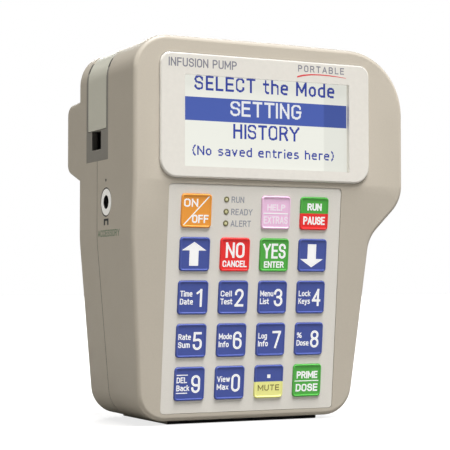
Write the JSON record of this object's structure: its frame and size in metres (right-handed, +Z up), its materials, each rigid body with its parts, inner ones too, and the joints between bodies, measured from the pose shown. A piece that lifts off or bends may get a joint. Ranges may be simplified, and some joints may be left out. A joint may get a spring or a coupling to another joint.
{
  "type": "infusion pump",
  "caption": "Hand-held infusion pump with a display window, a grid of coloured keys, a hinged door over a curved tube channel, and a battery bay behind a hinged cover.",
  "frame": {"origin": "under the middle of the overall box, on the plane that the foot plate stands on", "axes": "+X to the right seen from the front, +Y from the front face to the back, +Z up"},
  "size_m": [0.1032, 0.0638, 0.129],
  "materials": {
    "housing": "fine textured moulded plastic",
    "dark_frame": "moulded plastic",
    "door_strip": "smooth moulded plastic",
    "window": "glossy sheet",
    "lcd": "lit liquid crystal glass",
    "key_panel": "printed film",
    "key_blue": "satin",
    "key_orange": "satin",
    "key_pink": "satin",
    "key_green": "satin",
    "key_red": "satin",
    "key_yellow": "satin",
    "silicone": "moulded silicone",
    "led": "clear",
    "board": "printed circuit board",
    "black_plastic": "moulded plastic",
    "foot": "moulded rubber",
    "steel": "turned steel",
    "brass": "machined",
    "acetal": "machined acetal",
    "cell": "printed sleeve"
  },
  "bodies": {
    "housing": {"front_housing": "housing", "rear_housing": "housing", "display_window": "window", "lcd_panel": "lcd", "lcd_backlight": "acetal", "keypad_panel": "key_panel", "status_leds": "led", "keypad_mat": "silicone", "keypad_board": "board", "main_board": "board", "board_chips": "black_plastic", "buzzer": "black_plastic", "accessory_jack": "black_plastic", "jack_ring": "steel", "base_foot": "foot", "housing_screws": "steel", "mechanism_frame": "dark_frame", "finger_guide": "acetal", "camshaft_bearings": "steel", "gearmotor": "steel", "motor_bracket": "steel", "door_hinge_pins": "steel", "air_detector": "black_plastic", "pressure_sensors": "steel", "battery_tray": "black_plastic", "battery_cells": "cell", "battery_contacts": "steel", "battery_springs": "steel", "battery_hinge_pin": "steel"},
    "door": {"pump_door": "door_strip", "platen": "acetal", "latch_pin": "steel"},
    "latch": {"door_latch": "door_strip"},
    "battery_cover": {"battery_door": "housing"},
    "cam": {"camshaft": "steel", "pump_cam": "acetal", "cam_gear": "brass"},
    "pinion": {"motor_pinion": "brass"},
    "inlet_finger": {"inlet_valve_finger": "acetal"},
    "plunger": {"pump_finger": "acetal"},
    "outlet_finger": {"outlet_valve_finger": "acetal"},
    "key_power": {"key_power": "key_orange"},
    "key_help": {"key_help": "key_pink"},
    "key_run": {"key_run": "key_green"},
    "key_up": {"key_up": "key_blue"},
    "key_no": {"key_no": "key_red"},
    "key_yes": {"key_yes": "key_green"},
    "key_down": {"key_down": "key_blue"},
    "key_1": {"key_1": "key_blue"},
    "key_2": {"key_2": "key_blue"},
    "key_3": {"key_3": "key_blue"},
    "key_4": {"key_4": "key_blue"},
    "key_5": {"key_5": "key_blue"},
    "key_6": {"key_6": "key_blue"},
    "key_7": {"key_7": "key_blue"},
    "key_8": {"key_8": "key_blue"},
    "key_9": {"key_9": "key_blue"},
    "key_0": {"key_0": "key_blue"},
    "key_silence": {"key_silence": "key_yellow"},
    "key_prime": {"key_prime": "key_green"}
  },
  "joints": [
    {"name": "door_hinge", "type": "hinge", "parent": "housing", "child": "door", "pos_m": [0.0476, 0.002, 0.0955], "axis": [0, 1, 0], "range_deg": [0, 92]},
    {"name": "latch_hinge", "type": "hinge", "parent": "door", "child": "latch", "pos_m": [-0.0365, 0.002, 0.1262], "axis": [0, 1, 0], "range_deg": [0, 30]},
    {"name": "battery_cover_hinge", "type": "hinge", "parent": "housing", "child": "battery_cover", "pos_m": [-0.00627, 0.0178, 0.0066], "axis": [-1, 0, 0], "range_deg": [0, 90]},
    {"name": "cam_spin", "type": "hinge", "parent": "housing", "child": "cam", "pos_m": [0, 0.002, 0.0977], "axis": [0, 1, 0], "continuous": true},
    {"name": "pinion_spin", "type": "hinge", "parent": "housing", "child": "pinion", "pos_m": [-0.0246, 0.0142, 0.0977], "axis": [0, 1, 0], "continuous": true},
    {"name": "inlet_finger_slide", "type": "slide", "parent": "housing", "child": "inlet_finger", "axis": [-0.7071, 0, 0.7071], "range_m": [0, 0.0013]},
    {"name": "plunger_slide", "type": "slide", "parent": "housing", "child": "plunger", "axis": [0, 0, 1], "range_m": [0, 0.0013]},
    {"name": "outlet_finger_slide", "type": "slide", "parent": "housing", "child": "outlet_finger", "axis": [0.7071, 0, 0.7071], "range_m": [0, 0.0013]},
    {"name": "key_power_press", "type": "slide", "parent": "housing", "child": "key_power", "axis": [0, 0.9954, 0.0957], "range_m": [0, 0.0006], "stiffness_N_per_m": 700},
    {"name": "key_help_press", "type": "slide", "parent": "housing", "child": "key_help", "axis": [0, 0.9954, 0.0957], "range_m": [0, 0.0006], "stiffness_N_per_m": 700},
    {"name": "key_run_press", "type": "slide", "parent": "housing", "child": "key_run", "axis": [0, 0.9954, 0.0957], "range_m": [0, 0.0006], "stiffness_N_per_m": 700},
    {"name": "key_up_press", "type": "slide", "parent": "housing", "child": "key_up", "axis": [0, 0.9954, 0.0957], "range_m": [0, 0.0006], "stiffness_N_per_m": 700},
    {"name": "key_no_press", "type": "slide", "parent": "housing", "child": "key_no", "axis": [0, 0.9954, 0.0957], "range_m": [0, 0.0006], "stiffness_N_per_m": 700},
    {"name": "key_yes_press", "type": "slide", "parent": "housing", "child": "key_yes", "axis": [0, 0.9954, 0.0957], "range_m": [0, 0.0006], "stiffness_N_per_m": 700},
    {"name": "key_down_press", "type": "slide", "parent": "housing", "child": "key_down", "axis": [0, 0.9954, 0.0957], "range_m": [0, 0.0006], "stiffness_N_per_m": 700},
    {"name": "key_1_press", "type": "slide", "parent": "housing", "child": "key_1", "axis": [0, 0.9954, 0.0957], "range_m": [0, 0.0006], "stiffness_N_per_m": 700},
    {"name": "key_2_press", "type": "slide", "parent": "housing", "child": "key_2", "axis": [0, 0.9954, 0.0957], "range_m": [0, 0.0006], "stiffness_N_per_m": 700},
    {"name": "key_3_press", "type": "slide", "parent": "housing", "child": "key_3", "axis": [0, 0.9954, 0.0957], "range_m": [0, 0.0006], "stiffness_N_per_m": 700},
    {"name": "key_4_press", "type": "slide", "parent": "housing", "child": "key_4", "axis": [0, 0.9954, 0.0957], "range_m": [0, 0.0006], "stiffness_N_per_m": 700},
    {"name": "key_5_press", "type": "slide", "parent": "housing", "child": "key_5", "axis": [0, 0.9954, 0.0957], "range_m": [0, 0.0006], "stiffness_N_per_m": 700},
    {"name": "key_6_press", "type": "slide", "parent": "housing", "child": "key_6", "axis": [0, 0.9954, 0.0957], "range_m": [0, 0.0006], "stiffness_N_per_m": 700},
    {"name": "key_7_press", "type": "slide", "parent": "housing", "child": "key_7", "axis": [0, 0.9954, 0.0957], "range_m": [0, 0.0006], "stiffness_N_per_m": 700},
    {"name": "key_8_press", "type": "slide", "parent": "housing", "child": "key_8", "axis": [0, 0.9954, 0.0957], "range_m": [0, 0.0006], "stiffness_N_per_m": 700},
    {"name": "key_9_press", "type": "slide", "parent": "housing", "child": "key_9", "axis": [0, 0.9954, 0.0957], "range_m": [0, 0.0006], "stiffness_N_per_m": 700},
    {"name": "key_0_press", "type": "slide", "parent": "housing", "child": "key_0", "axis": [0, 0.9954, 0.0957], "range_m": [0, 0.0006], "stiffness_N_per_m": 700},
    {"name": "key_silence_press", "type": "slide", "parent": "housing", "child": "key_silence", "axis": [0, 0.9954, 0.0957], "range_m": [0, 0.0006], "stiffness_N_per_m": 700},
    {"name": "key_prime_press", "type": "slide", "parent": "housing", "child": "key_prime", "axis": [0, 0.9954, 0.0957], "range_m": [0, 0.0006], "stiffness_N_per_m": 700}
  ],
  "couplings": [
    {"joint": "pinion_spin", "follows": "cam_spin", "ratio": -4}
  ]
}
